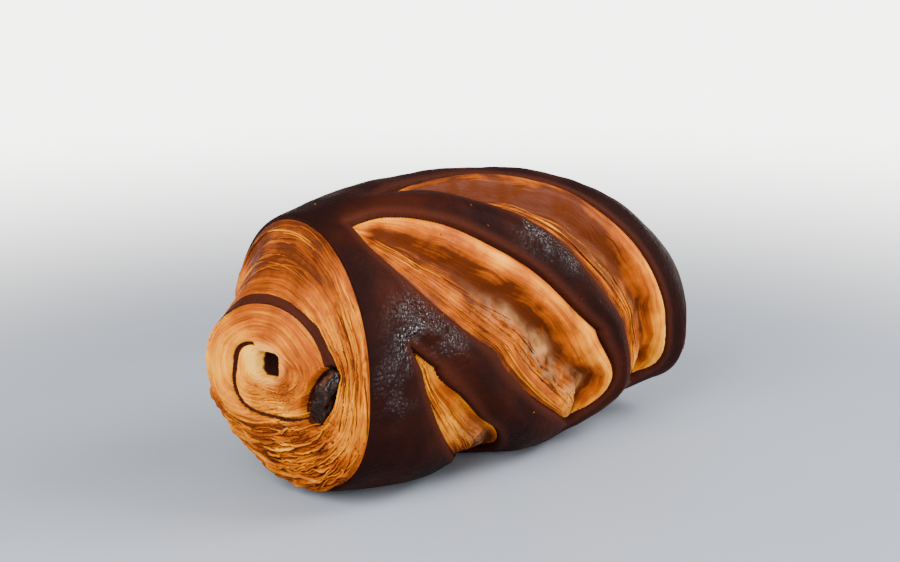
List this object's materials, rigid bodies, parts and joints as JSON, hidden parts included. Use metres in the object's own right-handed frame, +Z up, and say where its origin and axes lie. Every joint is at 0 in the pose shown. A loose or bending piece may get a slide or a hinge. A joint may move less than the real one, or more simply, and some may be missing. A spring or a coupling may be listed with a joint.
{
  "type": "chocolate-filled laminated pastry roll",
  "caption": "Rolled laminated pastry under a scored cocoa dough skin, with chocolate batons showing at both coiled ends.",
  "frame": {"origin": "on the surface the pastry rests on, under the middle of its bounding box", "axes": "+X along the roll, away from the larger coil; +Y across the roll; +Z up"},
  "size_m": [0.1108, 0.0486, 0.0587],
  "materials": {
    "golden_dough": "baked flaky laminated dough with a light syrup glaze",
    "cocoa_skin": "dark glazed cocoa dough, finely blistered",
    "dark_chocolate": "glossy melted and set dark chocolate"
  },
  "bodies": {
    "root": {"pastry": "golden_dough", "chocolate_baton_centre": "dark_chocolate", "chocolate_baton_outer": "dark_chocolate"}
  },
  "joints": []
}
